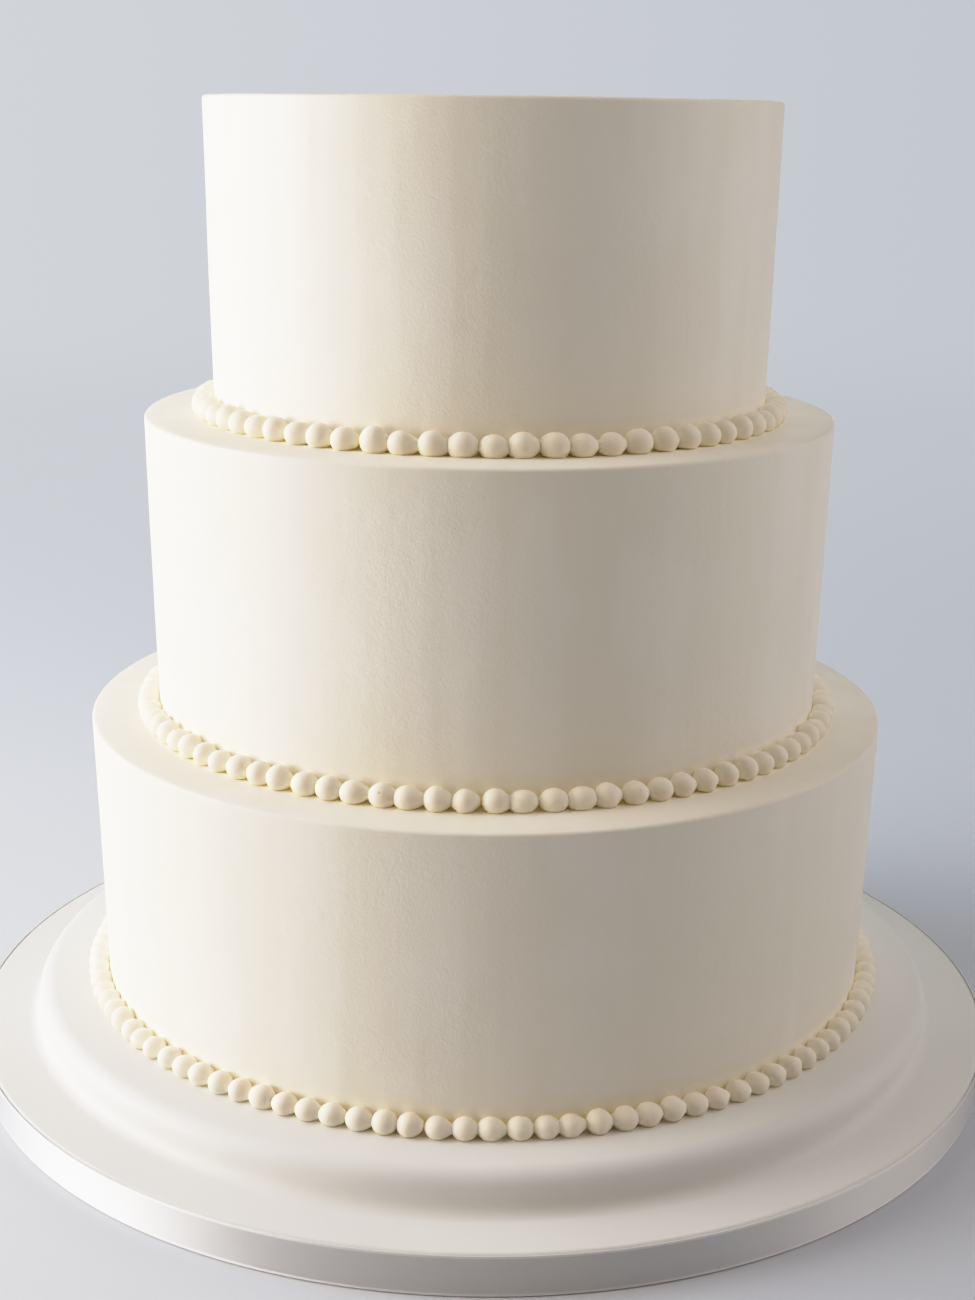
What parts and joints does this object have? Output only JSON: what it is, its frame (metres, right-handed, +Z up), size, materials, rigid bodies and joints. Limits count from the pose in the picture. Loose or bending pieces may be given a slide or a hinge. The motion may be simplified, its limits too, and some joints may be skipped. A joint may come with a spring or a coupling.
{
  "type": "tiered wedding cake",
  "caption": "Tiered wedding cake in smooth ivory buttercream, with a piped pearl border round the foot of each tier, on a stepped fondant-covered board edged with satin ribbon.",
  "frame": {"origin": "on the cake's axis, at the middle of the board's underside", "axes": "+Z up the cake's axis; the cake is round, so X and Y are any two level directions"},
  "size_m": [0.4082, 0.4082, 0.357],
  "materials": {
    "buttercream": "matt",
    "piped_buttercream": "soft satin",
    "fondant": "matt",
    "ribbon": "satin"
  },
  "bodies": {
    "root": {"tier_bottom": "buttercream", "tier_middle": "buttercream", "tier_top": "buttercream", "beads_bottom": "piped_buttercream", "beads_middle": "piped_buttercream", "beads_top": "piped_buttercream", "board": "fondant", "board_ribbon": "ribbon"}
  },
  "joints": []
}
